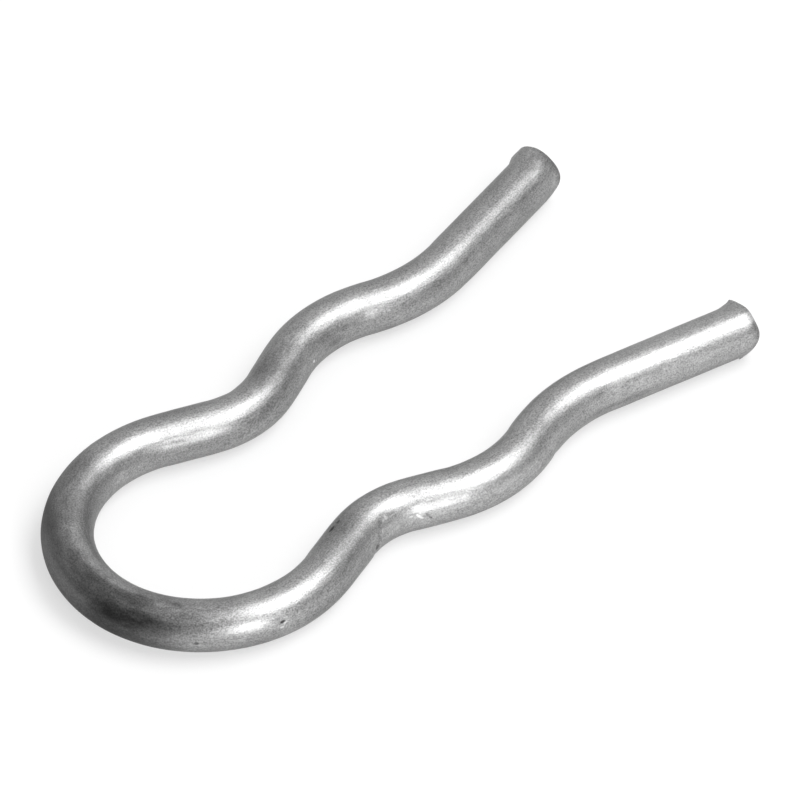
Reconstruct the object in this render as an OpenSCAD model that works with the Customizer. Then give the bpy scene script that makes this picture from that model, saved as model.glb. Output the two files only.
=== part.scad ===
// Spring-wire clip that locks a hose coupling.
//
// One length of round wire is bent in a single plane: a wide round bow gives
// the spring, two necks pinch in, two arcs form the round seat that grips the
// coupling, a throat keeps it in, and two straight legs flare open to guide it.
// The ends are as the shear left them, rolled over on one side of the wire and
// burred on the other, and both arms lean a little to the left of the bow.
//
// Frame: the origin is the centre of the grip seat at the middle of the wire,
// +X runs from the bow to the open legs, +Y is the left arm, +Z is up.

/* [Wire] */
// Diameter of the round wire
wire_d = 4; // [3:0.1:5]
// How much the wire's diameter is drawn down where it bends
bend_draw = 0.03; // [0.02:0.01:0.1]

/* [Bow] */
// Inside diameter of the round bow
bow_d = 16.4; // [15:0.1:20]
// Straight run of wire from the bow to each neck bend
bow_run = 4; // [2:0.1:8]

/* [Necks] */
// Clear gap between the two necks
neck_gap = 11.2; // [9:0.05:13]
// Inside radius of each neck bend
neck_bend = 5.3; // [4:0.1:7]
// Straight run of wire from each neck bend to the grip seat
neck_run = 3.1; // [1:0.1:6]

/* [Grip seat] */
// Inside diameter of the round seat that grips the coupling
seat_d = 16.8; // [15.5:0.1:20]
// Straight run of wire from the seat to each throat bend
seat_run = 0.5; // [0.3:0.1:4]

/* [Throat] */
// Clear gap between the arms at the throat
throat_gap = 13.3; // [11:0.1:14.5]
// Inside radius of each throat bend
throat_bend = 11; // [8:0.25:14]

/* [Legs] */
// Angle at which each leg flares away from the middle line
leg_flare = 13; // [6:0.5:25]
// Length of the left leg past its throat bend
left_leg = 12.1; // [8:0.05:20]
// Length of the right leg past its throat bend
right_leg = 12.35; // [8:0.05:20]

/* [Set from use] */
// Angle at which both arms lean to the left of the bow's middle line
arm_lean = 2.25; // [0:0.25:4]

/* [Sheared ends] */
// Angle round the wire, up from the left, at which the burr stands
burr_turn = 38; // [0:1:90]
// Height of the burr above the surface of the wire
burr_h = 0.22; // [0.1:0.02:0.4]
// Length over which the burr swells out of the wire
burr_swell = 1.2; // [0.5:0.1:2]
// Length of the lip that the burr swells up to, back from the cut
burr_lip = 0.4; // [0.1:0.1:1]
// Lean of the left leg's cut away from square, back at the burr
left_cut = 0; // [0:0.5:12]
// Lean of the right leg's cut away from square, back at the burr
right_cut = 9; // [0:0.5:12]
// Radius rolled over by the shear on the left leg, opposite the burr
left_roll = 0.9; // [0.3:0.1:1.4]
// Radius rolled over by the shear on the right leg, opposite the burr
right_roll = 1.3; // [0.3:0.1:1.4]

/* [Hidden] */
// Radius of the wire in a straight run, and where it bends
wire_r = wire_d / 2;
bent_r = (wire_d - bend_draw) / 2;

// Radii of the bends to the middle of the wire
bow_r = bow_d / 2 + bent_r;
neck_r = neck_bend + bent_r;
seat_r = seat_d / 2 + bent_r;
throat_r = throat_bend + bent_r;

// The centre of a bend that turns outward lies off the middle line by the
// half gap, the wire and its own radius
neck_y = neck_gap / 2 + bent_r + neck_r;
throat_y = throat_gap / 2 + bent_r + throat_r;

// Distance along X between the centres of two bends that turn opposite ways
// and are joined by a straight run: the run is their crossing tangent
function step_x(r_sum, run, rise) = sqrt(r_sum * r_sum + run * run - rise * rise);

neck_x = -step_x(neck_r + seat_r, neck_run, neck_y);
bow_x = neck_x - step_x(bow_r + neck_r, bow_run, neck_y);
throat_x = step_x(seat_r + throat_r, seat_run, throat_y);

// Heading of that tangent, where turn is -1 from an inward bend to an outward
// one and 1 from an outward bend to an inward one
function run_heading(dx, dy, r_sum, run, turn) = atan2(dy, dx) + turn * atan2(r_sum, run);

bow_heading = run_heading(neck_x - bow_x, neck_y, bow_r + neck_r, bow_run, -1);
neck_heading = run_heading(-neck_x, -neck_y, neck_r + seat_r, neck_run, 1);
seat_heading = run_heading(throat_x, throat_y, seat_r + throat_r, seat_run, -1);

// Point on a bend where the wire has this heading, where side is 1 on a bend
// that turns inward and -1 on one that turns outward
function on_bend(centre, r, heading, side) =
    centre + side * r * [-sin(heading), cos(heading)];

// A point turned about a centre
function turned(point, centre, angle) =
    centre + [[cos(angle), -sin(angle)], [sin(angle), cos(angle)]] * (point - centre);

// Middle of the seat once both arms lean
seat_mid = (turned([0, 0], [neck_x, neck_y], arm_lean)
    + turned([0, 0], [neck_x, -neck_y], arm_lean)) / 2;

// How far a straight run reaches into the bend at each of its ends
lap = 0.1;
// How far cutting shapes reach past what they cut
past = 1;

// Fineness of round sections, and of bends along the wire
section_fn = 32;
bend_fn = 180;
$fn = section_fn;

// Straight wire from a point along a heading
module run(start, heading, length) {
    translate(start) rotate([0, 0, heading]) rotate([0, 90, 0])
        translate([0, 0, -lap]) cylinder(r = wire_r, h = length + 2 * lap);
}

// Bent wire between two headings; side is 1 inward and -1 outward
module bend(centre, r, heading_in, heading_out, side) {
    first = side > 0 ? heading_out : heading_in;
    translate(centre) rotate([0, 0, first + side * 90])
        rotate_extrude(angle = abs(heading_out - heading_in), $fn = bend_fn)
            translate([r, 0]) circle(r = bent_r, $fn = section_fn);
}

// The wire's end as a shear leaves it, along +X from the origin, burr up
module sheared_end(length, cut, roll) {
    difference() {
        union() {
            translate([-lap, 0, 0]) rotate([0, 90, 0])
                cylinder(r = wire_r, h = length + past);
            burr(length);
        }
        translate([length, 0, 0]) rotate([0, -cut, 0])
            translate([0, -wire_d, -wire_d]) cube(2 * wire_d);
        roll_cutter(length, roll);
    }
}

// Lip dragged out by the blade: it swells from half its height under the
// surface to stand clear of the wire on one side, then rises by a last tenth
// up to the cut, and runs on past it
module burr(length) {
    swell_end = length - burr_lip;
    buried_r = wire_r - burr_h - burr_h / 2;
    last_rise = burr_h / 10;
    translate([0, 0, burr_h]) rotate([0, 90, 0]) rotate_extrude()
        polygon([
            [0, swell_end - burr_swell],
            [buried_r, swell_end - burr_swell],
            [wire_r - last_rise, swell_end],
            [wire_r, length],
            [wire_r, length + past],
            [0, length + past],
        ]);
}

// What the blade rolled away: a corner block less the round it leaves
module roll_cutter(length, roll) {
    difference() {
        translate([length - roll, -wire_d, -wire_r - past])
            cube([roll + past, 2 * wire_d, roll + past]);
        translate([length - roll, 0, roll - wire_r]) rotate([90, 0, 0])
            cylinder(r = roll, h = 3 * wire_d, center = true);
    }
}

// One arm from the end of the bow to its sheared tip, as the left one lies;
// spin is the burr's angle as seen in the arm's own mirror sense
module arm(lean, leg, cut, roll, spin) {
    neck = [neck_x, neck_y];
    throat = [throat_x, throat_y];
    run(on_bend([bow_x, 0], bow_r, bow_heading, 1), bow_heading, bow_run);
    bend(neck, neck_r, bow_heading, neck_heading + lean, -1);
    translate(neck) rotate([0, 0, lean]) translate(-neck) {
        run(on_bend(neck, neck_r, neck_heading, -1), neck_heading, neck_run);
        bend([0, 0], seat_r, neck_heading, seat_heading, 1);
        run(on_bend([0, 0], seat_r, seat_heading, 1), seat_heading, seat_run);
        bend(throat, throat_r, seat_heading, leg_flare, -1);
        translate(on_bend(throat, throat_r, leg_flare, -1)) rotate([0, 0, leg_flare])
            rotate([spin - 90, 0, 0]) sheared_end(leg, cut, roll);
    }
}

module clip() {
    color("silver") translate(-seat_mid) {
        bend([bow_x, 0], bow_r, 180 - bow_heading, bow_heading, 1);
        arm(arm_lean, left_leg, left_cut, left_roll, burr_turn);
        mirror([0, 1, 0]) arm(-arm_lean, right_leg, right_cut, right_roll, 180 - burr_turn);
    }
}

clip();
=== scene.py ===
"""A hose coupling clip: one length of round spring wire, bent flat, its two ends as the shear left them.

Sizes are in millimetres and angles in degrees, and MM turns them into the metres that meshes, lamps and
the camera need. A place on the wire is given as if the wire were straight. `along` is the distance from
the middle of the bow, more than 0 towards the left leg. `around` is the angle round the wire: 0 on the
outer side of the clip, 90 on top, 180 on the inner side and 270 underneath. The wire's surface is a grid
of rings, each at one place along the wire, and spokes, each at one angle round it.
"""

import logging
import math
from dataclasses import dataclass
from enum import Enum
from typing import ClassVar

import bpy
import numpy as np
from mathutils import Matrix, Vector


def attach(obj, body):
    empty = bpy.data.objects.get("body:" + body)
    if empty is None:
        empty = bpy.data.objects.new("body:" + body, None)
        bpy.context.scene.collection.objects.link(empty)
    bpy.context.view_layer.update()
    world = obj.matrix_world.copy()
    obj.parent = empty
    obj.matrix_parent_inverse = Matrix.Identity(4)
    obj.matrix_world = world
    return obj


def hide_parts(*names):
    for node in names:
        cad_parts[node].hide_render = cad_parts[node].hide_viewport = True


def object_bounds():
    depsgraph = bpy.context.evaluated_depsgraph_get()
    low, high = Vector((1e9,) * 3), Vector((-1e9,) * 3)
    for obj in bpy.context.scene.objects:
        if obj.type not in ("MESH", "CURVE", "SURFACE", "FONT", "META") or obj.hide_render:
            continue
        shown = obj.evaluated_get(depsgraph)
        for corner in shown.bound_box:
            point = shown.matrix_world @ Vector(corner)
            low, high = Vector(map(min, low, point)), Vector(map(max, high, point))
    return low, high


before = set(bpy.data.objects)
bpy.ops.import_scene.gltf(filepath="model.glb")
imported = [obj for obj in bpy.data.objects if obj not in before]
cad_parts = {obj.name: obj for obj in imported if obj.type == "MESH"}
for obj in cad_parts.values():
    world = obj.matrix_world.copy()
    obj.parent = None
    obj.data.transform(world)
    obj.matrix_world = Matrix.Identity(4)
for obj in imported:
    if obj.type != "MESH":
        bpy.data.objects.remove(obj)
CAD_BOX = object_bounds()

MM = 0.001
UP = np.array([0.0, 0.0, 1.0])
WHITE = (1.0, 1.0, 1.0, 1.0)
UNBENT = "unbent"  # attribute that holds each vertex's place on the straight wire, in millimetres
CUT = "cut"  # attribute that holds a place on a cut: towards the burr, across it, past the roll-over
ORIGIN = (0.0, 0.0, 0.0)
RAG_PITCH = (0.4, 1.0, 1.0)  # how much closer the rags of a patch lie along the wire and across it
RAG_REACH = 4.0  # how far the rags of a patch reach, where the noise that tears them swings by 1
log = logging.getLogger("clip")

Array = np.ndarray
Faces = list[tuple[int, ...]]
Socket = bpy.types.NodeSocket


# ---- The wire's path ----


@dataclass(frozen=True)
class Stretch:
    """A straight run of wire, or a bend of one radius."""

    length: float
    turn: float = 0.0

    @classmethod
    def bend(cls, radius: float, turn: float) -> "Stretch":
        """Make a bend on a radius to the middle of the wire. Its turn is more than 0 to the left."""
        return cls(radius * abs(math.radians(turn)), turn)

    def walk(self, start: Array, heading: float, gone: Array) -> tuple[Array, Array]:
        """Walk along the stretch.

        Args:
            start: Where the stretch starts.
            heading: Heading at its start.
            gone: Distances walked from its start.

        Returns:
            The points reached and the headings there.
        """
        headings = heading + self.turn * gone / self.length
        chord = gone * np.sinc(self.turn * gone / self.length / 360)
        middle = np.radians((heading + headings) / 2)
        return start + chord[:, None] * np.stack([np.cos(middle), np.sin(middle)], 1), headings


@dataclass(frozen=True)
class ClipSizes:
    """The sizes that the clip's path follows from, the same as in the part's source."""

    wire_d: float = 4.0
    bend_draw: float = 0.03
    bow_d: float = 16.4
    bow_run: float = 4.0
    neck_gap: float = 11.2
    neck_bend: float = 5.3
    neck_run: float = 3.1
    seat_d: float = 16.8
    seat_run: float = 0.5
    throat_gap: float = 13.3
    throat_bend: float = 11.0
    leg_flare: float = 13.0
    left_leg: float = 12.1
    right_leg: float = 12.35
    arm_lean: float = 2.25

    @property
    def wire_r(self) -> float:
        """Radius of the wire in a straight run."""
        return self.wire_d / 2

    @property
    def bent_r(self) -> float:
        """Radius of the wire where it bends."""
        return (self.wire_d - self.bend_draw) / 2


class Side(Enum):
    """Which arm of the clip, as the sign of `along` on it."""

    LEFT = 1
    RIGHT = -1


class ClipPath:
    """The middle line of the bent wire, from the right tip round the bow to the left tip."""

    TOUCH: ClassVar[float] = 1e-6  # how far past a stretch's end a point still counts as on it

    def __init__(self, sizes: ClipSizes) -> None:
        """Work out the bends' centres and headings, and the stretches of both arms.

        Args:
            sizes: The clip's sizes.
        """
        self.sizes = sizes
        self.bow_r = sizes.bow_d / 2 + sizes.bent_r
        self.neck_r = sizes.neck_bend + sizes.bent_r
        self.seat_r = sizes.seat_d / 2 + sizes.bent_r
        self.throat_r = sizes.throat_bend + sizes.bent_r
        neck_y = sizes.neck_gap / 2 + sizes.bent_r + self.neck_r
        throat_y = sizes.throat_gap / 2 + sizes.bent_r + self.throat_r
        self.bow_heading, bow_step = self._tangent(self.bow_r + self.neck_r, sizes.bow_run, neck_y)
        neck_heading, neck_step = self._tangent(self.neck_r + self.seat_r, sizes.neck_run, neck_y)
        seat_heading, _ = self._tangent(self.seat_r + self.throat_r, sizes.seat_run, throat_y)
        self.neck_heading, self.seat_heading = -neck_heading, seat_heading
        lean = math.radians(sizes.arm_lean)
        self.seat_mid = np.array([neck_step * math.cos(lean) - neck_step, neck_step * math.sin(lean)])
        self.start = np.array([-neck_step - bow_step - self.bow_r, 0.0])

    @staticmethod
    def _tangent(radii: float, run: float, rise: float) -> tuple[float, float]:
        """Give the heading of the run that joins two opposite bends, and how far apart they lie along X."""
        step = math.sqrt(radii**2 + run**2 - rise**2)
        return math.degrees(math.atan2(rise, step) - math.atan2(radii, run)), step

    def arm(self, side: Side) -> list[Stretch]:
        """List the stretches of one arm, as the left one turns.

        Args:
            side: Which arm.

        Returns:
            Its stretches, from the middle of the bow to the tip.
        """
        s = self.sizes
        lean = s.arm_lean * side.value
        return [
            Stretch.bend(self.bow_r, self.bow_heading - 90),
            Stretch(s.bow_run),
            Stretch.bend(self.neck_r, self.neck_heading + lean - self.bow_heading),
            Stretch(s.neck_run),
            Stretch.bend(self.seat_r, self.seat_heading - self.neck_heading),
            Stretch(s.seat_run),
            Stretch.bend(self.throat_r, s.leg_flare - self.seat_heading),
            Stretch(s.left_leg if side is Side.LEFT else s.right_leg),
        ]

    def length(self, side: Side) -> float:
        """Give the length of one arm, from the middle of the bow to its tip."""
        return sum(stretch.length for stretch in self.arm(side))

    def trace(self, along: Array) -> tuple[Array, Array, Array]:
        """Follow the wire.

        Args:
            along: Distances from the middle of the bow, in any order.

        Returns:
            The points of the middle line, the headings towards the left tip, and 1 where the wire bends.
        """
        points = np.zeros((len(along), 2))
        headings = np.zeros(len(along))
        bent = np.zeros(len(along))
        for side in Side:
            place, heading, done = self.start, 90.0, 0.0
            for stretch in self.arm(side):
                gone = along * side.value - done
                here = (gone >= 0) & (gone <= stretch.length + self.TOUCH)
                reached, turned = stretch.walk(place, heading, gone[here])
                points[here] = reached * [1, side.value]
                headings[here] = turned if side is Side.LEFT else 180 - turned
                bent[here] = stretch.turn != 0
                ends, turned = stretch.walk(place, heading, np.array([stretch.length]))
                place, heading, done = ends[0], turned[0], done + stretch.length
        return points - self.seat_mid, headings, bent


# ---- The wire's surface ----


@dataclass(frozen=True)
class Ripple:
    """Smooth uneven bumps on the wire's surface, which close on themselves round the wire.

    `step` is the distance from one bump to the next along the wire, and `spokes` their number round it.
    """

    step: float
    spokes: int
    seed: int
    depth: float = 1.0

    def height_at(self, along: Array, around: Array) -> Array:
        """Give the bumps' height at each place.

        Args:
            along: Place of each ring.
            around: Angle of each spoke.

        Returns:
            Heights from 0 to the depth, by ring and spoke.
        """
        rows = (along - along.min()) / self.step
        columns = (around % 360) / 360 * self.spokes
        draws = np.random.default_rng(self.seed).random((int(rows.max()) + 2, self.spokes))
        row, column = rows.astype(int), columns.astype(int) % self.spokes
        down, over = self._eased(rows - row), self._eased(columns - columns.astype(int))
        beside = (column + 1) % self.spokes
        upper = draws[row][:, column] * (1 - over) + draws[row][:, beside] * over
        lower = draws[row + 1][:, column] * (1 - over) + draws[row + 1][:, beside] * over
        return self.depth * (upper * (1 - down[:, None]) + lower * down[:, None])

    @staticmethod
    def _eased(share: Array) -> Array:
        """Ease shares from 0 to 1 in and out."""
        return share * share * (3 - 2 * share)


@dataclass(frozen=True)
class Dent:
    """A nick, crease or dent pressed into the wire."""

    along: float
    around: float
    length: float
    width: float
    depth: float
    slant: float = 0.0
    edge: float = 2.0

    def depth_at(self, along: Array, around: Array, wire_r: float) -> Array:
        """Give how deep the dent is at each place.

        Args:
            along: Place of each ring.
            around: Angle of each spoke.
            wire_r: Radius of the wire.

        Returns:
            Depths, by ring and spoke.
        """
        ahead = (along - self.along)[:, None]
        aside = np.radians((around - self.around + 180) % 360 - 180)[None] * wire_r
        cos, sin = math.cos(math.radians(self.slant)), math.sin(math.radians(self.slant))
        long_way = (ahead * cos + aside * sin) / self.length
        short_way = (aside * cos - ahead * sin) / self.width
        return self.depth * np.exp(-((long_way**2 + short_way**2) ** (self.edge / 2)))


@dataclass(frozen=True)
class ShearedEnd:
    """One end of the wire: where its burr stands, how far it leans and what the shear rolled over.

    `burr_sharp` narrows the burr round the wire, `burr_flat` is the length of its crest back from the cut,
    and `burr_round` rounds its swell. `rim_depth` and `rim_length` taper the wire towards the cut, away
    from the burr. `low_lean` is the share of the cut's lean that its half away from the burr has.
    `fracture` is how deep the cut is torn, `torn_from` how high in the section that starts, `torn_blend`
    over what height it grows to the full, and `torn_rim` how steeply it ends at the rim. WAVES has the
    weight and the pitch of each wave of the torn relief, and SWAY and STACK bend and break the waves.
    """

    WAVES: ClassVar[tuple[tuple[float, float], ...]] = ((0.5, 4.1), (0.3, 9.7), (0.2, 17.3))
    SWAY: ClassVar[tuple[float, float]] = (2.1, 0.8)
    STACK: ClassVar[float] = 1.3

    burr_around: float
    cut: float
    roll: float
    burr_sharp: float
    burr_h: float
    burr_swell: float
    burr_flat: float
    burr_round: float
    rim_depth: float
    rim_length: float
    burr_tear: float = 0.28
    fracture: float = 0.05
    torn_from: float = 0.1
    torn_blend: float = 0.8
    torn_rim: float = 6.0
    low_lean: float = 0.5

    def reach(self, rise: Array, wire_r: float) -> Array:
        """Give how far the cut lies past the wire's full length.

        Args:
            rise: Height in the wire's section, from its middle towards the burr.
            wire_r: Radius of the wire.

        Returns:
            The distance, less than 0 where the cut falls short of the full length.
        """
        slope = math.tan(math.radians(self.cut))
        below = np.clip((self.roll - wire_r - rise) / self.roll, 0, 1)
        leaning = -slope * rise * np.where(rise > 0, (rise / wire_r) ** 2, self.low_lean)
        return leaning + (self.roll + wire_r * slope * self.low_lean) * (np.sqrt(1 - below**2) - 1)

    def rim(self, back: Array, around: Array) -> Array:
        """Give how far the wire tapers towards its rim, away from the burr, as `burr` gives its heights."""
        taper = np.clip(1 - back / self.rim_length, 0, 1)[:, None] ** 2
        return self.rim_depth * taper * (1 - self._facing(around))

    def burr(self, back: Array, around: Array, ragged: Array) -> Array:
        """Give how far the burr stands out of the wire.

        Args:
            back: Distance of each ring back from the cut.
            around: Angle of each spoke.
            ragged: Noise from 0 to 1 that tears the burr's crest.

        Returns:
            Heights, by ring and spoke.
        """
        swell = np.clip((self.burr_swell - back) / (self.burr_swell - self.burr_flat), 0, 1)[:, None]
        swell = swell * swell * (1 + 2 * self.burr_round * (1 - swell))
        return self.burr_h * swell * self._facing(around) * (1 - self.burr_tear * (1 - ragged))

    def torn(self, rise: Array, width: Array, share: Array) -> Array:
        """Give how deep the cut is torn.

        Args:
            rise: Height in the wire's section, from its middle towards the burr.
            width: Distance across the section from its middle.
            share: Share of the way from the middle out to the rim.

        Returns:
            Depths, rough and at their deepest towards the burr.
        """
        grown = np.clip((rise - self.torn_from) / self.torn_blend, 0, 1)
        inside = np.clip((1 - share) * self.torn_rim, 0, 1)
        rough = 0.0
        for weight, pitch in self.WAVES:
            swayed = width * pitch + self.SWAY[0] * np.sin(rise * pitch * self.SWAY[1] + pitch)
            rough = rough + weight * np.sin(swayed) * np.sin(rise * pitch * self.STACK)
        return self.fracture * grown * inside * (1 + rough)

    def place_on_cut(self, unbent: Array, wire_r: float) -> Array:
        """Give where points of the straight wire lie on this end's cut.

        Args:
            unbent: Points of the straight wire, one in each row.
            wire_r: Radius of the wire.

        Returns:
            For each point, how far it lies towards the burr, across it, and past the roll-over.
        """
        turn = math.radians(self.burr_around)
        rise = unbent[:, 1] * math.cos(turn) + unbent[:, 2] * math.sin(turn)
        width = unbent[:, 2] * math.cos(turn) - unbent[:, 1] * math.sin(turn)
        return np.stack([rise, width, rise + wire_r - self.roll], 1)

    def _facing(self, around: Array) -> Array:
        """Give how near each spoke is to the burr's crest, from 0 to 1."""
        return np.clip(np.cos(np.radians(around - self.burr_around)), 0, 1)[None] ** self.burr_sharp


def join(rings: range | list[int], spokes: int, hub: int | None = None) -> Faces:
    """List the faces between rings of vertices.

    Args:
        rings: Index of each ring's first vertex.
        spokes: Number of vertices in each ring.
        hub: Index of a vertex in the middle of the last ring, if that is to be closed.

    Returns:
        The faces as vertex indices.
    """
    pairs = [(spoke, (spoke + 1) % spokes) for spoke in range(spokes)]
    faces = []
    for low, high in zip(rings, rings[1:]):
        faces += [(low + one, low + two, high + two, high + one) for one, two in pairs]
    if hub is not None:
        faces += [(rings[-1] + one, rings[-1] + two, hub) for one, two in pairs]
    return faces


class Surface(Enum):
    """Which finish a face of the wire has, as its place in the mesh's list of materials."""

    DRAWN = 0
    SHEARED = 1


@dataclass
class SpringWire:
    """The clip's one piece: its round wire as a mesh of rings, with its dents, bends and sheared ends.

    `tip_zone` is the length over which the last rings draw up to a cut, `bend_blend` the length over which
    a straight run turns into a bend, and `bend_flat` how much a bend is flattened on its two sides.
    """

    path: ClipPath
    ends: dict[Side, ShearedEnd]
    dents: list[Dent]
    rings: int = 780
    spokes: int = 120
    cap_rings: int = 16
    tip_zone: float = 4.0
    tear_step: float = 0.35
    tear_spokes: int = 26
    tear_seed: int = 20
    bend_blend: float = 0.7
    bend_flat: float = 0.012
    sharp_from: float = 38.0
    waviness: Ripple = Ripple(step=4.2, spokes=5, seed=3, depth=0.024)
    hammering: Ripple = Ripple(step=1.1, spokes=15, seed=8, depth=0.014)

    def rounds(self, along: Array, around: Array, bent: Array) -> Array:
        """Give the radius of the wire's surface at each ring and spoke, without its burrs.

        Args:
            along: Place of each ring.
            around: Angle of each spoke.
            bent: 1 for each ring in a bend.

        Returns:
            Radii, never more than the wire's own.
        """
        sizes = self.path.sizes
        spacing = along[1] - along[0]
        window = np.hanning(2 * int(self.bend_blend / spacing) + 3)
        bent = np.convolve(np.pad(bent, len(window) // 2, "edge"), window / window.sum(), "valid")
        across = np.cos(np.radians(around))[None] ** 2
        radius = sizes.wire_r - bent[:, None] * (sizes.wire_r - sizes.bent_r + self.bend_flat * across)
        radius = radius - self.waviness.height_at(along, around) - self.hammering.height_at(along, around)
        for dent in self.dents:
            radius = radius - dent.depth_at(along, around, sizes.wire_r)
        return radius

    def build(self) -> bpy.types.Object:
        """Build the wire's mesh.

        Returns:
            The wire as one closed mesh, in metres.
        """
        wire_r = self.path.sizes.wire_r
        along = np.linspace(-self.path.length(Side.RIGHT), self.path.length(Side.LEFT), self.rings)
        around = np.arange(self.spokes) * 360 / self.spokes
        angle = np.radians(around)
        centres, headings, bent = self.path.trace(along)
        turn = np.radians(headings)
        forward = np.stack([np.cos(turn), np.sin(turn), 0 * turn], 1)
        outward = np.stack([-np.sin(turn), np.cos(turn), 0 * turn], 1)
        frames = np.stack([np.pad(centres, ((0, 0), (0, 1))), forward, outward])

        radius, placed = self._shear(self.rounds(along, around, bent), along, around)
        straight = np.stack([placed, radius * np.cos(angle), radius * np.sin(angle)], 2)
        wall = self._bend(straight, along[:, None, None], frames[:, :, None])
        vertices, unbent = [wall.reshape(-1, 3)], [straight.reshape(-1, 3)]
        cuts = [np.zeros_like(vertices[0])]
        faces = join(range(0, len(vertices[0]), self.spokes), self.spokes)
        surfaces = [Surface.DRAWN.value] * len(faces)
        for side, end in self.ends.items():
            ring = self.rings - 1 if side is Side.LEFT else 0
            first, start = ring * self.spokes, sum(len(part) for part in vertices)
            cap, cap_faces = self._cap(side, radius[ring], angle, first, start)
            vertices.append(self._bend(cap, along[ring], frames[:, ring]))
            unbent.append(cap)
            cuts.append(end.place_on_cut(cap, wire_r))
            cuts[0][first : first + self.spokes] = end.place_on_cut(straight[ring], wire_r)
            faces += cap_faces
            surfaces += [Surface.SHEARED.value] * len(cap_faces)
        places = {UNBENT: np.vstack(unbent), CUT: np.vstack(cuts)}
        return self._mesh(np.vstack(vertices), places, faces, surfaces)

    def _shear(self, radius: Array, along: Array, around: Array) -> tuple[Array, Array]:
        """Raise the burrs, draw in the rims and draw the last rings up to the cuts.

        Args:
            radius: Radius of the surface at each ring and spoke.
            along: Place of each ring.
            around: Angle of each spoke.

        Returns:
            The new radii, and each vertex's place along the wire.
        """
        placed = np.repeat(along[:, None], self.spokes, 1)
        for side, end in self.ends.items():
            back = self.path.length(side) - along * side.value
            tear = Ripple(self.tear_step, self.tear_spokes, self.tear_seed + side.value)
            radius = radius + end.burr(back, around, tear.height_at(along, around)) - end.rim(back, around)
            rise = radius * np.cos(np.radians(around - end.burr_around))[None]
            nearness = np.clip(1 - back / self.tip_zone, 0, 1)[:, None] ** 2
            placed = placed + side.value * nearness * end.reach(rise, self.path.sizes.wire_r)
        return radius, placed

    @staticmethod
    def _bend(straight: Array, along: Array | float, frames: Array) -> Array:
        """Carry points of the straight wire over to the bent one.

        Args:
            straight: The points.
            along: Place along the wire of the ring that carries each point.
            frames: That ring's middle, and its directions along the wire and out from the clip.

        Returns:
            The points in the clip's frame.
        """
        middle, forward, outward = frames
        ahead, aside, rise = straight[..., :1] - along, straight[..., 1:2], straight[..., 2:]
        return middle + ahead * forward + aside * outward + rise * UP

    def _cap(self, side: Side, rim: Array, angle: Array, first: int, start: int) -> tuple[Array, Faces]:
        """Work out the face that the shear left.

        Args:
            side: Which arm it ends.
            rim: Radius of the wire's last ring at each spoke.
            angle: Angle of each spoke, in radians.
            first: Index of that ring's first vertex in the mesh.
            start: Index of the cap's own first vertex.

        Returns:
            Its vertices on the straight wire, and its faces as the mesh's indices, wound to face outward.
        """
        end, length = self.ends[side], self.path.length(side)
        share = np.cos(np.linspace(0, math.pi / 2, self.cap_rings + 1))[1:-1, None]
        flat = share * rim
        turned = angle - math.radians(end.burr_around)
        rise, width = flat * np.cos(turned), flat * np.sin(turned)
        reach = end.reach(rise, self.path.sizes.wire_r) - end.torn(rise, width, share)
        straight = np.stack([side.value * (length + reach), flat * np.cos(angle), flat * np.sin(angle)], 2)
        vertices = np.vstack([straight.reshape(-1, 3), [side.value * length, 0.0, 0.0]])
        hub = start + len(vertices) - 1
        faces = join([first, *range(start, hub, self.spokes)], self.spokes, hub)
        return vertices, faces if side is Side.LEFT else [face[::-1] for face in faces]

    def _mesh(
        self, vertices: Array, places: dict[str, Array], faces: Faces, surfaces: list[int]
    ) -> bpy.types.Object:
        """Make the object from its vertices and faces.

        Args:
            vertices: Vertices in the clip's frame.
            places: Their places on the straight wire and on the cuts, by the attribute's name.
            faces: Faces as vertex indices.
            surfaces: Surface of each face.

        Returns:
            The object.
        """
        mesh = bpy.data.meshes.new("spring_wire")
        mesh.from_pydata((vertices * MM).tolist(), [], faces)
        mesh.validate()
        for name, values in places.items():
            place = mesh.attributes.new(name, "FLOAT_VECTOR", "POINT")
            place.data.foreach_set("vector", values.astype(np.float32).ravel())
        mesh.polygons.foreach_set("material_index", surfaces)
        mesh.polygons.foreach_set("use_smooth", [True] * len(mesh.polygons))
        mesh.set_sharp_from_angle(angle=math.radians(self.sharp_from))
        mesh.update()
        piece = bpy.data.objects.new("spring_wire", mesh)
        bpy.context.scene.collection.objects.link(piece)
        return piece


# ---- Finishes ----


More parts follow.
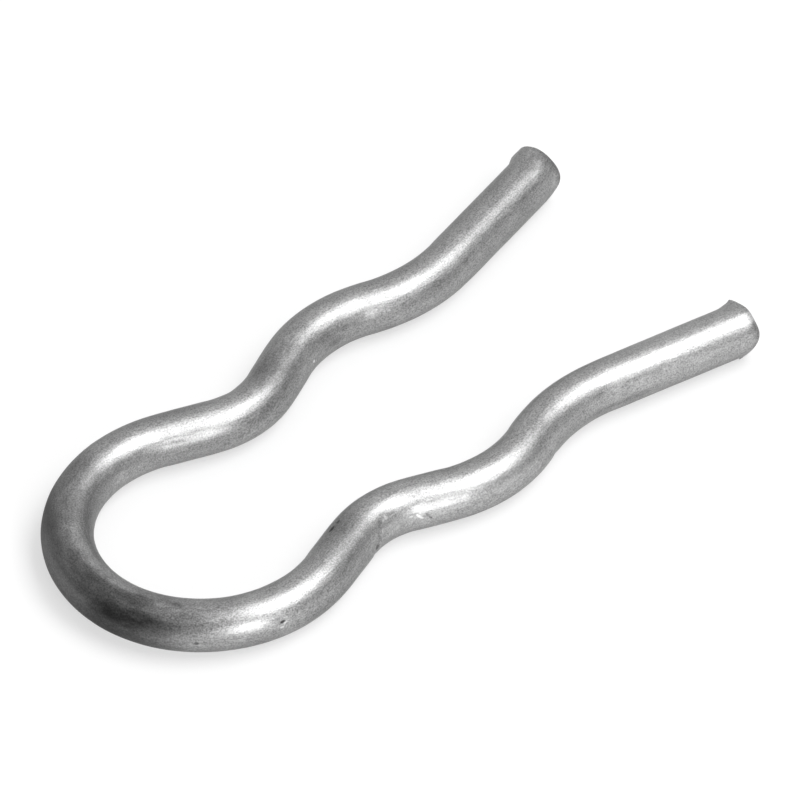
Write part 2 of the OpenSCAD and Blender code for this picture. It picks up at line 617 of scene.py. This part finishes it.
class NodeBench:
    """Adds nodes to one tree, with their values and links given by the sockets' names."""

    def __init__(self, tree: bpy.types.NodeTree) -> None:
        """Start on a tree, whose nodes are cleared."""
        self.tree = tree
        tree.nodes.clear()

    def add(self, kind: str, inputs: dict | None = None, **settings: object) -> bpy.types.Node:
        """Add one node.

        Args:
            kind: Blender's name for the node.
            inputs: Values or output sockets, by the input's name or number.
            **settings: Values of the node's own properties.

        Returns:
            The node.
        """
        node = self.tree.nodes.new(kind)
        for name, value in settings.items():
            setattr(node, name, value)
        self.fill(node, inputs or {})
        return node

    def fill(self, node: bpy.types.Node, inputs: dict) -> None:
        """Give a node's inputs their values or links.

        Args:
            node: The node.
            inputs: Values or output sockets, by the input's name or number.
        """
        for name, value in inputs.items():
            if isinstance(value, Socket):
                self.tree.links.new(value, node.inputs[name])
            else:
                node.inputs[name].default_value = value

    def math(self, operation: str, *values: object, clamp: bool = False) -> Socket:
        """Add a Math node and give its output."""
        inputs = dict(enumerate(values))
        return self.add("ShaderNodeMath", inputs, operation=operation, use_clamp=clamp).outputs[0]

    def vector(self, operation: str, *values: object) -> Socket:
        """Add a Vector Math node and give its output."""
        outputs = self.add("ShaderNodeVectorMath", dict(enumerate(values)), operation=operation).outputs
        return outputs["Value" if operation in ("LENGTH", "DOT_PRODUCT") else "Vector"]

    def mix(self, factor: object, low: object, high: object) -> Socket:
        """Mix two values by a factor and give the result."""
        return self.add("ShaderNodeMix", {0: factor, 2: low, 3: high}, data_type="FLOAT").outputs[0]

    def ease(self, value: object, span: tuple, low: object = 0.0, high: object = 1.0) -> Socket:
        """Ease from low to high as a value goes from one end of a span to the other."""
        inputs = {0: value, 1: span[0], 2: span[1], 3: low, 4: high}
        return self.add("ShaderNodeMapRange", inputs, interpolation_type="SMOOTHSTEP").outputs[0]

    def noise(self, place: object, fineness: object, **inputs: object) -> Socket:
        """Add a Noise Texture node and give its value."""
        return self.add("ShaderNodeTexNoise", {"Vector": place, "Scale": fineness} | inputs).outputs[0]

    def swing(self, value: object, size: float, about: object) -> Socket:
        """Make a value from 0 to 1 swing about another by a size."""
        return self.math("MULTIPLY_ADD", self.math("SUBTRACT", value, 0.5), size, about)

    def grey(self, tone: object) -> Socket:
        """Make a grey of a tone."""
        return self.add("ShaderNodeCombineColor", {0: tone, 1: tone, 2: tone}).outputs[0]

    def bump(self, distance: float, height: object) -> Socket:
        """Make the normal of a relief, with its distance in millimetres."""
        return self.add("ShaderNodeBump", {"Distance": distance * MM, "Height": height}).outputs[0]

    def surface(self, inputs: dict) -> None:
        """Finish a material with its Principled shader."""
        shader = self.add("ShaderNodeBsdfPrincipled", inputs)
        self.add("ShaderNodeOutputMaterial", {"Surface": shader.outputs[0]})


class Effect:
    """A shader node group that gives one value, built once and placed wherever it is needed."""

    def __init__(self, name: str, inputs: dict[str, object]) -> None:
        """Make the group and its sockets.

        Args:
            name: The group's name.
            inputs: Each input's default, whose type gives the socket's type.
        """
        self.tree = bpy.data.node_groups.new(name, "ShaderNodeTree")
        for label, default in inputs.items():
            kind = "NodeSocketVector" if isinstance(default, tuple) else "NodeSocketFloat"
            self.tree.interface.new_socket(label, in_out="INPUT", socket_type=kind).default_value = default
        self.tree.interface.new_socket("Value", in_out="OUTPUT", socket_type="NodeSocketFloat")
        self.bench = NodeBench(self.tree)
        self.given = self.bench.add("NodeGroupInput").outputs

    def give(self, value: Socket) -> None:
        """Send a value out of the group."""
        self.bench.add("NodeGroupOutput", {0: value})

    def place(self, bench: NodeBench, inputs: dict[str, object]) -> Socket:
        """Place the group in a material.

        Args:
            bench: The material's bench.
            inputs: Values or sockets, by the input's name.

        Returns:
            The group's value.
        """
        node = bench.add("ShaderNodeGroup", node_tree=self.tree)
        bench.fill(node, inputs)
        return node.outputs[0]


def lines_effect() -> Effect:
    """Make the fine lines that the drawing die leaves along the wire.

    Returns:
        An effect that gives a value from 0 to 1.
    """
    effect = Effect("drawing_lines", {"Place": ORIGIN, "Fineness": 8.0, "Stretch": 12.0})
    bench, given = effect.bench, effect.given
    squeeze = {0: bench.math("DIVIDE", 1.0, given["Stretch"]), 1: 1.0, 2: 1.0}
    place = bench.vector("MULTIPLY", given["Place"], bench.add("ShaderNodeCombineXYZ", squeeze).outputs[0])
    effect.give(bench.noise(place, given["Fineness"], Detail=3.0, Roughness=0.62))
    return effect


def grain_effect() -> Effect:
    """Make the fine even grain of the plating.

    Returns:
        An effect that gives a value from 0 to 1.
    """
    effect = Effect("grain", {"Place": ORIGIN, "Fineness": 9.0, "Detail": 2.0})
    given = effect.given
    effect.give(effect.bench.noise(given["Place"], given["Fineness"], Detail=given["Detail"]))
    return effect


def patch_effect() -> Effect:
    """Make one patch on the wire, an oval with a ragged or a soft edge.

    Returns:
        An effect that gives 1 in the patch and 0 outside it.
    """
    inputs = {"Place": ORIGIN, "Centre": ORIGIN, "Turn": ORIGIN, "Size": (1.0, 1.0, 1.0)}
    effect = Effect("patch", inputs | {"Softness": 0.6, "Ragged": 0.3, "Fineness": 1.5})
    bench, given = effect.bench, effect.given
    local = {"Vector": "Place", "Location": "Centre", "Rotation": "Turn", "Scale": "Size"}
    local = {name: given[source] for name, source in local.items()}
    local = bench.add("ShaderNodeMapping", local, vector_type="TEXTURE").outputs[0]
    drawn_out = bench.vector("MULTIPLY", given["Place"], RAG_PITCH)
    tear = bench.math("SUBTRACT", bench.noise(drawn_out, given["Fineness"], Detail=3.0), 0.5)
    tear = bench.math("MULTIPLY", tear, bench.math("MULTIPLY", given["Ragged"], RAG_REACH))
    distance = bench.math("ADD", tear, bench.vector("LENGTH", local))
    inner = bench.math("SUBTRACT", 1.0, given["Softness"])
    effect.give(bench.ease(distance, (1.0, inner)))
    return effect


@dataclass(frozen=True)
class Edge:
    """How a patch ends: how softly, how raggedly, and how fine its rags are."""

    softness: float
    ragged: float
    fineness: float


@dataclass(frozen=True)
class Patch:
    """An oval patch of the wire that is darker or lighter than the rest."""

    along: float
    around: float
    length: float
    width: float
    strength: float
    edge: Edge
    slant: float = 0.0

    def place(self, effect: Effect, bench: NodeBench, place: Socket, wire_r: float) -> Socket:
        """Place the patch in a material.

        Args:
            effect: The patch effect.
            bench: The material's bench.
            place: Socket of the place on the straight wire.
            wire_r: Radius of the wire.

        Returns:
            The patch's mask times its strength.
        """
        angle = math.radians(self.around)
        turn = Matrix.Rotation(angle + math.pi / 2, 3, "X")
        turn = turn @ Matrix.Rotation(math.radians(self.slant), 3, "Z")
        mask = effect.place(
            bench,
            {
                "Place": place,
                "Centre": (self.along, wire_r * math.cos(angle), wire_r * math.sin(angle)),
                "Turn": tuple(turn.to_euler("XYZ")),
                "Size": (self.length, self.width, max(self.width, wire_r / 2)),
                "Softness": self.edge.softness,
                "Ragged": self.edge.ragged,
                "Fineness": self.edge.fineness,
            },
        )
        return bench.math("MULTIPLY", mask, self.strength)


def new_material(name: str) -> tuple[bpy.types.Material, NodeBench]:
    """Make an empty node material.

    Args:
        name: Its name.

    Returns:
        The material and a bench on its tree.
    """
    material = bpy.data.materials.new(name)
    material.use_nodes = True
    return material, NodeBench(material.node_tree)


@dataclass(frozen=True)
class DrawnFinish:
    """Grey plated spring wire: satin, with drawing lines, fine grain, stains and rubbed spots, and painted
    shade and painted highlights.

    Its tones are shares of the light that the metal gives back, or how much each texture changes that.
    """

    LINE: ClassVar[dict] = {"Fineness": 8.0, "Stretch": 8.0}
    BAND: ClassVar[dict] = {"Fineness": 2.4, "Stretch": 4.0}
    FLAKE: ClassVar[dict] = {"Fineness": 4.5, "Stretch": 3.5}
    SPECK: ClassVar[dict] = {"Fineness": 9.0, "Detail": 0.5}
    CLOUD: ClassVar[dict] = {"Fineness": 0.6, "Detail": 4.0}

    stains_and_shade: list[Patch]
    flecks_and_highlights: list[Patch]
    wire_r: float
    tone: float = 0.38
    edge_tint: float = 0.60
    # tone of the rubbed flecks and of the painted highlights
    fleck_and_highlight_tone: float = 0.85
    line_tone: float = 0.45
    band_tone: float = 0.35
    speck_tone: float = 1.3
    cloud_tone: float = 0.25
    roughness: float = 0.39
    band_rough: float = 0.16
    speck_rough: float = 0.20
    stain_and_shade_rough: float = 0.12
    line_depth: float = 0.012
    flake_depth: float = 0.012
    speck_depth: float = 0.004

    def make(self, lines: Effect, grain: Effect, patch: Effect) -> bpy.types.Material:
        """Make the material.

        Args:
            lines: The drawing lines.
            grain: The plating's grain.
            patch: The patch effect.

        Returns:
            The material.
        """
        material, bench = new_material("drawn_wire")
        place = bench.add("ShaderNodeAttribute", attribute_name=UNBENT).outputs["Vector"]
        line, band, flake = (
            lines.place(bench, {"Place": place} | kind) for kind in (self.LINE, self.BAND, self.FLAKE)
        )
        speck, cloud = (grain.place(bench, {"Place": place} | kind) for kind in (self.SPECK, self.CLOUD))
        unstained_unshaded, rub_and_highlight = 1.0, 0.0
        # Stains and painted shade darken the metal, and rubbed flecks and painted highlights lighten it,
        # patch by patch.
        for dark_patch in self.stains_and_shade:
            mask = dark_patch.place(patch, bench, place, self.wire_r)
            unstained_unshaded = bench.math("MULTIPLY", unstained_unshaded, bench.math("SUBTRACT", 1.0, mask))
        for light_patch in self.flecks_and_highlights:
            rub_and_highlight = bench.math("MAXIMUM", rub_and_highlight, light_patch.place(patch, bench, place, self.wire_r))
        tone = unstained_unshaded
        shares = (self.line_tone, self.band_tone, self.speck_tone, self.cloud_tone)
        for value, share in zip((line, band, speck, cloud), shares):
            tone = bench.math("MULTIPLY", tone, bench.math("MULTIPLY_ADD", value, share, 1 - share / 2))
        tone = bench.math("MULTIPLY", tone, self.tone, clamp=True)
        rough = bench.swing(speck, self.speck_rough, bench.swing(band, self.band_rough, self.roughness))
        stain_and_shade = bench.math("SUBTRACT", 1.0, unstained_unshaded)
        height = bench.math("MULTIPLY", line, self.line_depth)
        height = bench.math("MULTIPLY_ADD", flake, self.flake_depth, height)
        height = bench.math("MULTIPLY_ADD", speck, self.speck_depth, height)
        bench.surface(
            {
                "Base Color": bench.grey(bench.mix(rub_and_highlight, tone, self.fleck_and_highlight_tone)),
                "Metallic": 1.0,
                "Roughness": bench.math("MULTIPLY_ADD", stain_and_shade, self.stain_and_shade_rough, rough, clamp=True),
                "Specular Tint": (self.edge_tint, self.edge_tint, self.edge_tint, 1.0),
                "Normal": bench.bump(1.0, height),
            },
        )
        return material


@dataclass(frozen=True)
class ShearedFinish:
    """Bare steel where the wire was cut: rolled over, then scored by the blade, then torn and dull.

    `torn_from` is how high in the section the torn part starts, and `uneven` how far the borders wander.
    """

    SCORE: ClassVar[dict] = {"Fineness": 5.0, "Stretch": 9.0}
    COARSE: ClassVar[dict] = {"Fineness": 2.2, "Detail": 4.0}
    SPECK: ClassVar[dict] = {"Fineness": 8.0, "Detail": 2.0}

    rolled_tone: float = 0.36
    scored_tone: float = 0.47
    scored_contrast: float = 0.3
    scored_rough: float = 0.36
    scored_blend: float = 0.45
    torn_tone: float = 0.33
    torn_contrast: float = 0.5
    torn_rough: float = 0.52
    torn_from: float = 0.35
    torn_blend: float = 0.35
    uneven: float = 1.6
    relief: float = 0.035

    def make(self, lines: Effect, grain: Effect) -> bpy.types.Material:
        """Make the material.

        Args:
            lines: The line effect, whose lines here run the way the blade went.
            grain: The grain effect.

        Returns:
            The material.
        """
        material, bench = new_material("sheared_steel")
        place = bench.add("ShaderNodeAttribute", attribute_name=CUT).outputs["Vector"]
        ways = bench.add("ShaderNodeSeparateXYZ", {0: place}).outputs
        flat = {"Place": bench.vector("MULTIPLY", place, (1.0, 1.0, 0.0))}
        score = lines.place(bench, flat | self.SCORE)
        coarse, speck = (grain.place(bench, flat | kind) for kind in (self.COARSE, self.SPECK))
        past_roll, rise = (bench.swing(coarse, self.uneven, way) for way in (ways[2], ways[0]))
        cut = bench.ease(past_roll, (0.0, self.scored_blend))
        torn = bench.ease(rise, (self.torn_from, self.torn_from + self.torn_blend))
        scored = (self.scored_tone * (1 + sign * self.scored_contrast) for sign in (-1, 1))
        pitted = (self.torn_tone * (1 + sign * self.torn_contrast) for sign in (-1, 1))
        scored, pitted = bench.mix(score, *scored), bench.mix(speck, *pitted)
        height = bench.math("MULTIPLY", bench.mix(torn, score, coarse), cut)
        bench.surface(
            {
                "Base Color": bench.grey(bench.mix(cut, self.rolled_tone, bench.mix(torn, scored, pitted))),
                "Metallic": 1.0,
                "Roughness": bench.mix(torn, self.scored_rough, self.torn_rough),
                "Normal": bench.bump(self.relief, height),
            },
        )
        return material


# ---- Studio ----


def direction(azimuth: float, elevation: float) -> Vector:
    """Give the unit vector towards an azimuth, from +X towards +Y, and an elevation above the floor."""
    turn, rise = math.radians(azimuth), math.radians(elevation)
    return Vector((math.cos(turn) * math.cos(rise), math.sin(turn) * math.cos(rise), math.sin(rise)))


def stand(thing: bpy.types.Object, towards: Vector, distance: float, roll: float, target: Vector) -> None:
    """Stand a lamp or a camera in the scene so that it faces a target.

    Args:
        thing: The lamp or the camera.
        towards: Direction from the target towards it.
        distance: Its distance from the target, in metres.
        roll: Angle that it is rolled by, round its line of sight.
        target: The point that it faces, in metres.
    """
    facing = towards.to_track_quat("Z", "Y").to_matrix() @ Matrix.Rotation(math.radians(roll), 3, "Z")
    thing.matrix_world = Matrix.Translation(target + towards * distance) @ facing.to_4x4()
    bpy.context.scene.collection.objects.link(thing)


@dataclass(frozen=True)
class Softbox:
    """A flat soft lamp that faces the clip. Its half sizes are shares of its distance."""

    name: str
    azimuth: float
    elevation: float
    roll: float
    half_width: float
    half_height: float
    radiance: float
    distance: float = 0.9

    def make(self) -> None:
        """Make the lamp."""
        lamp = bpy.data.lights.new(self.name, "AREA")
        lamp.shape = "RECTANGLE"
        lamp.size = 2 * self.half_width * self.distance
        lamp.size_y = 2 * self.half_height * self.distance
        lamp.energy = self.radiance * math.pi * lamp.size * lamp.size_y
        box = bpy.data.objects.new(self.name, lamp)
        box.visible_camera = False
        stand(box, direction(self.azimuth, self.elevation), self.distance, self.roll, Vector(ORIGIN))


@dataclass(frozen=True)
class Studio:
    """A pale floor with a low upturned rim, a grey room and two soft lamps.

    The room is brighter towards one part of its ceiling, and `ceiling_edge` is the cosine of the angle
    from there at which that fades out.
    """

    floor_z: float
    lamps: list[Softbox]
    flat_r: float = 1.6
    rim_r: float = 0.25
    rim_steps: int = 12
    spokes: int = 96
    floor_tone: float = 0.38
    floor_glow: float = 0.56
    room: float = 0.43
    ceiling: float = 0.80
    ceiling_azimuth: float = 51.0
    ceiling_elevation: float = 50.0
    ceiling_edge: float = 0.3

    def make(self) -> None:
        """Make the floor, the room's light and the lamps."""
        self._floor()
        for lamp in self.lamps:
            lamp.make()
        world = bpy.data.worlds.new("room")
        world.use_nodes = True
        bpy.context.scene.world = world
        bench = NodeBench(world.node_tree)
        ceiling = tuple(direction(self.ceiling_azimuth, self.ceiling_elevation))
        looking = bench.add("ShaderNodeTexCoord").outputs["Generated"]
        nearness = bench.vector("DOT_PRODUCT", looking, ceiling)
        strength = bench.ease(nearness, (self.ceiling_edge, 1.0), self.room, self.ceiling)
        sky = bench.add("ShaderNodeBackground", {"Color": WHITE, "Strength": strength})
        bench.add("ShaderNodeOutputWorld", {"Surface": sky.outputs[0]})

    def _floor(self) -> bpy.types.Object:
        """Build the floor as a shallow dish.

        Returns:
            The floor's object.
        """
        arc = [i / self.rim_steps * math.pi / 2 for i in range(self.rim_steps + 1)]
        turns = [i / self.spokes * math.tau for i in range(self.spokes)]
        vertices = [(0.0, 0.0, self.floor_z)]
        for lift in arc:
            radius = self.flat_r + self.rim_r * math.sin(lift)
            height = self.floor_z + self.rim_r * (1 - math.cos(lift))
            vertices += [(radius * math.cos(turn), radius * math.sin(turn), height) for turn in turns]
        faces = join(range(1, len(vertices), self.spokes)[::-1], self.spokes, 0)
        mesh = bpy.data.meshes.new("floor")
        mesh.from_pydata(vertices, [], faces)
        mesh.polygons.foreach_set("use_smooth", [True] * len(faces))
        mesh.materials.append(self._floor_material())
        floor = bpy.data.objects.new("floor", mesh)
        bpy.context.scene.collection.objects.link(floor)
        return floor

    def _floor_material(self) -> bpy.types.Material:
        """Make the floor's matt white, which glows a little where it is seen, also in the metal.

        Returns:
            The material.
        """
        material, bench = new_material("pale_floor")
        path = bench.add("ShaderNodeLightPath").outputs
        seen = bench.math("ADD", path["Is Camera Ray"], path["Is Glossy Ray"])
        seen = bench.math("ADD", seen, path["Is Transmission Ray"], clamp=True)
        bench.surface(
            {
                "Base Color": (self.floor_tone, self.floor_tone, self.floor_tone, 1.0),
                "Roughness": 0.9,
                "Specular IOR Level": 0.0,
                "Emission Color": WHITE,
                "Emission Strength": bench.math("MULTIPLY", seen, self.floor_glow),
            },
        )
        return material


@dataclass(frozen=True)
class Viewpoint:
    """Where the camera stands and what it looks at. Its azimuth is 0 where it faces the clip along +Y."""

    azimuth: float
    elevation: float
    roll: float
    distance: float
    target: tuple[float, float, float]
    lens: float
    sensor: float = 36.0
    nearest: float = 0.01
    farthest: float = 10.0

    def make(self) -> None:
        """Make the scene's camera."""
        lens = bpy.data.cameras.new("camera")
        lens.lens, lens.sensor_width = self.lens, self.sensor
        lens.clip_start, lens.clip_end = self.nearest, self.farthest
        camera = bpy.data.objects.new("camera", lens)
        towards = direction(self.azimuth - 90, self.elevation)
        stand(camera, towards, self.distance * MM, self.roll, Vector(self.target) * MM)
        bpy.context.scene.camera = camera


# ---- The clip ----

ENDS = {
    Side.LEFT: ShearedEnd(
        burr_around=38.0, cut=0.0, roll=0.9, burr_sharp=1.4, burr_h=0.24, burr_swell=1.7, burr_flat=0.8,
        burr_round=1.0, rim_depth=0.15, rim_length=1.8,
    ),
    Side.RIGHT: ShearedEnd(
        burr_around=142.0, cut=9.0, roll=1.3, burr_sharp=16.0, burr_h=0.36, burr_swell=2.0, burr_flat=0.0,
        burr_round=0.0, rim_depth=0.08, rim_length=0.8,
    ),
}

DENTS = [
    Dent(-22.45, 126.0, 0.50, 0.30, 0.15, slant=-8),
    Dent(-23.25, 120.0, 0.30, 0.20, 0.07),
    Dent(-23.85, 350.0, 0.35, 0.60, 0.13),
    Dent(-26.50, 45.0, 0.60, 0.25, 0.03, slant=22),
    Dent(-25.15, 38.5, 0.85, 0.28, 0.035, slant=-26),
    Dent(-24.10, 7.0, 0.70, 0.28, 0.03, slant=-71),
    Dent(-30.05, 8.0, 0.55, 0.16, 0.03, slant=56),
    Dent(-28.80, 14.0, 0.60, 0.20, 0.03, slant=-25),
    Dent(-13.84, 16.0, 0.22, 0.17, 0.11),
    Dent(-8.30, 2.0, 0.16, 0.14, 0.08),
    Dent(-41.00, 337.0, 0.50, 0.60, 0.06),
    Dent(26.40, 48.0, 0.90, 0.80, 0.06),
    Dent(37.20, 178.0, 0.90, 0.40, 0.04),
    Dent(-60.75, 313.0, 0.35, 0.16, -0.13),
]

# How the patches below end. The first three edge patches of painted shade, the fourth patches of painted
# highlight.
SOFT_SHADE_EDGE = Edge(0.9, 0.15, 0.8)
FAINT_SHADE_EDGE = Edge(0.9, 0.1, 0.8)
RAGGED_SHADE_EDGE = Edge(0.9, 0.25, 1.5)
SOFT_HIGHLIGHT_EDGE = Edge(0.9, 0.2, 1.5)

# Darker patches of the wire. Most are painted shade: they darken the bow, the sides of the arms and the
# flanks of highlights where darker surroundings would be reflected, and they dim and narrow highlights and
# fade them towards the tips. The rest are the wire's own marks: dark nicks and dents, scuffs and a blotch.
STAINS_AND_SHADE = [
    # Painted shade: the bow's outer and lower side darkened, as a darker reflection would darken it, with a
    # strip low on the right leg.
    Patch(3.0, 2.0, 12.5, 3.3, 0.66, Edge(0.55, 0.12, 0.5)),
    Patch(-3.8, 0.0, 5.8, 2.6, 0.42, Edge(0.7, 0.15, 0.9)),
    Patch(11.5, 48.0, 8.5, 2.4, 0.28, Edge(0.9, 0.1, 0.6)),
    Patch(-3.5, 60.0, 9.0, 2.2, 0.36, Edge(0.9, 0.2, 0.9)),
    Patch(-1.0, 80.0, 10.0, 1.1, 0.55, Edge(0.9, 0.35, 1.6)),
    Patch(-6.5, 45.0, 3.6, 1.0, 0.3, Edge(0.9, 0.45, 2.2)),
    Patch(-45.0, 0.0, 5.5, 1.0, 0.14, Edge(0.9, 0.2, 1.2)),
    Patch(10.5, 95.0, 6.5, 4.5, 0.27, SOFT_SHADE_EDGE),
    Patch(-11.0, -15.0, 5.0, 1.3, 0.16, SOFT_SHADE_EDGE),
    Patch(5.0, 150.0, 9.5, 1.8, 0.34, Edge(0.9, 0.1, 0.6)),
    Patch(-3.0, 34.0, 3.1, 0.95, 0.5, Edge(0.8, 0.35, 1.8)),
    # The nicks and dents, darkened: their own dark marks, and painted shade in their hollows. The scuffed
    # mottling among them is the wire's own wear.
    Patch(-22.4, 126.0, 0.5, 0.26, 0.7, Edge(0.6, 0.3, 1.5), slant=-8),
    Patch(-23.25, 121.0, 0.3, 0.18, 0.55, Edge(0.7, 0.3, 1.5)),
    Patch(-23.9, 351.0, 0.4, 0.36, 0.6, Edge(0.7, 0.3, 1.5)),
    Patch(-25.15, 39.0, 0.95, 0.24, 0.32, Edge(0.9, 0.5, 3.0), slant=-26),
    Patch(-24.3, 10.0, 0.85, 0.34, 0.26, Edge(0.9, 0.4, 3.0), slant=-71),
    Patch(-26.7, 44.0, 0.8, 0.26, 0.4, Edge(0.7, 0.6, 3.0), slant=10),
    Patch(-30.05, 8.0, 0.55, 0.13, 0.48, Edge(0.8, 0.5, 4.0), slant=56),
    Patch(-30.5, 40.0, 4.2, 0.8, 0.1, Edge(0.6, 0.9, 3.5)),
    Patch(-13.84, 16.5, 0.26, 0.18, 0.8, Edge(0.6, 0.1, 1.5)),
    Patch(-8.3, 1.0, 0.2, 0.16, 0.6, Edge(0.5, 0.1, 1.5)),
    # Painted shade: a dark streak low under the right leg.
    Patch(-49.5, 352.0, 4.2, 0.5, 0.28, Edge(0.9, 0.3, 1.5)),
    Patch(37.2, 176.0, 1.6, 0.6, 0.28, Edge(0.8, 0.3, 1.5)),
    # Painted shade: the right tip's rim darkened so that its highlight fades before the cut. The next patch
    # darkens the burr.
    Patch(-61.15, 40.0, 0.8, 3.2, 0.36, Edge(0.8, 0.3, 2.5)),
    Patch(-61.1, 142.0, 0.45, 0.55, 0.45, Edge(0.8, 0.3, 2.5)),
    # Painted shade: these dim and narrow the highlights on both necks and the left leg, darken the left
    # arm's outer and inner sides, and darken the left tip's rim so that its highlight fades.
    Patch(-20.5, 66.0, 4.4, 2.2, 0.14, RAGGED_SHADE_EDGE),
    Patch(-39.5, 60.0, 3.6, 1.1, 0.22, RAGGED_SHADE_EDGE),
    Patch(38.0, 48.0, 27.0, 1.8, 0.15, Edge(0.8, 0.2, 0.7)),
    Patch(61.45, 150.0, 0.9, 3.6, 0.4, Edge(0.9, 0.3, 2.5)),
    Patch(-20.0, 15.0, 5.2, 3.0, 0.18, Edge(0.8, 0.15, 0.8)),
    Patch(-22.6, 98.0, 3.4, 2.0, 0.32, Edge(0.9, 0.2, 1.0)),
    Patch(40.0, 168.0, 26.0, 3.4, 0.11, Edge(0.7, 0.2, 0.7)),
    Patch(56.0, 112.0, 6.5, 1.1, 0.16, Edge(0.9, 0.25, 1.2)),
    Patch(60.8, 108.0, 2.8, 1.2, 0.42, RAGGED_SHADE_EDGE),
    Patch(20.4, 147.0, 1.4, 0.22, 0.35, Edge(0.8, 0.6, 4.0)),
    Patch(-29.0, 60.0, 1.6, 0.18, 0.12, Edge(0.8, 0.7, 4.0)),
    # Painted shade dims the left arm's side and highlight and the right neck's highlight. The patch at 36.0
    # is a dark blotch of the wire's own.
    Patch(28.5, 130.0, 4.5, 3.6, 0.12, Edge(0.8, 0.15, 0.8)),
    Patch(30.3, 92.0, 3.4, 2.5, 0.36, RAGGED_SHADE_EDGE),
    Patch(36.0, 160.0, 1.6, 0.8, 0.16, Edge(0.8, 0.5, 1.8)),
    Patch(-24.4, 70.0, 2.4, 0.9, 0.14, RAGGED_SHADE_EDGE),
    # Painted shade: the bow darkened further round its outside and inside.
    Patch(-16.5, -8.0, 4.5, 0.9, 0.24, SOFT_SHADE_EDGE),
    Patch(-9.5, 90.0, 3.8, 1.5, 0.16, SOFT_SHADE_EDGE),
    Patch(-9.0, 28.0, 3.2, 1.3, 0.11, SOFT_SHADE_EDGE),
    Patch(-5.0, 104.0, 3.4, 1.3, 0.22, SOFT_SHADE_EDGE),
    Patch(7.5, 98.0, 3.2, 1.0, 0.2, SOFT_SHADE_EDGE),
    # Painted shade: the shaded sides of the left leg and of the left arm near the bow darkened.
    Patch(56.5, 66.0, 8.5, 1.7, 0.15, FAINT_SHADE_EDGE),
    Patch(56.5, 172.0, 8.5, 1.5, 0.15, FAINT_SHADE_EDGE),
    Patch(20.0, 70.0, 6.0, 1.4, 0.2, FAINT_SHADE_EDGE),
    Patch(20.5, 176.0, 7.5, 1.4, 0.18, FAINT_SHADE_EDGE),
]

# Lighter patches of the wire: first the rubbed flecks and scratches where it was handled and bent, then
# painted highlights.
FLECKS_AND_HIGHLIGHTS = [
    Patch(-13.74, 5.0, 0.22, 0.12, 0.55, Edge(0.6, 0.1, 1.5)),
    Patch(33.48, 172.3, 0.17, 0.14, 1.0, Edge(0.5, 0.05, 1.5)),
    Patch(-28.5, 17.0, 0.34, 0.11, 0.6, Edge(0.7, 0.5, 4.0)),
    Patch(-29.32, 13.5, 0.42, 0.12, 0.8, Edge(0.7, 0.5, 4.0), slant=46),
    Patch(-25.0, 20.0, 0.5, 0.07, 0.35, Edge(0.6, 0.2, 1.5), slant=-58),
    Patch(-29.0, 14.0, 2.4, 0.9, 0.12, Edge(0.5, 0.9, 3.5)),
    Patch(-27.3, 16.0, 2.4, 1.4, 0.08, Edge(0.9, 0.3, 1.5)),
    Patch(-31.8, 24.0, 2.2, 0.9, 0.08, Edge(0.9, 0.6, 3.0)),
    # Painted highlights: these widen the highlights, join two of them on the right seat and brighten the
    # skirts below them.
    Patch(-32.6, 40.0, 3.4, 0.7, 0.14, Edge(0.8, 0.7, 3.0)),
    Patch(-35.5, 34.0, 2.8, 1.2, 0.16, Edge(0.9, 0.4, 2.0)),
    Patch(-56.0, 22.0, 5.0, 1.2, 0.07, SOFT_HIGHLIGHT_EDGE),
    Patch(-37.0, 20.0, 4.0, 1.1, 0.05, SOFT_HIGHLIGHT_EDGE),
    Patch(-54.5, 104.0, 8.0, 1.4, 0.06, SOFT_HIGHLIGHT_EDGE),
    Patch(-52.0, 36.0, 4.5, 0.9, 0.07, SOFT_HIGHLIGHT_EDGE),
    Patch(3.5, 40.0, 6.5, 1.7, 0.04, SOFT_HIGHLIGHT_EDGE),
    Patch(23.3, 140.0, 1.8, 0.7, 0.09, Edge(0.9, 0.3, 2.0)),
]

LAMPS = [
    Softbox("overhead_softbox", -50.5, 61.8, 14.0, 0.46, 0.265, 5.4),
    Softbox("side_softbox", -106.4, 16.0, -1.5, 0.125, 0.28, 8.8),
]

VIEW = Viewpoint(-38.789, 43.081, -2.541, 1082.5, (-0.545, 0.511, 0.0), 658.5)


def main() -> None:
    """Build the clip, dress it and set up the studio and the camera."""
    logging.basicConfig(level=logging.INFO, format="%(name)s: %(message)s")
    bpy.context.scene.view_settings.view_transform = "Standard"
    VIEW.make()
    sizes = ClipSizes()
    wire = SpringWire(ClipPath(sizes), ENDS, DENTS)
    piece = wire.build()
    lines, grain, patch = lines_effect(), grain_effect(), patch_effect()
    piece.data.materials.append(DrawnFinish(STAINS_AND_SHADE, FLECKS_AND_HIGHLIGHTS, sizes.wire_r).make(lines, grain, patch))
    piece.data.materials.append(ShearedFinish().make(lines, grain))
    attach(piece, "root")
    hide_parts("clip")
    log.info("%s has %d faces", piece.name, len(piece.data.polygons))
    Studio(CAD_BOX[0].z, LAMPS).make()


if __name__ == "__main__":
    main()
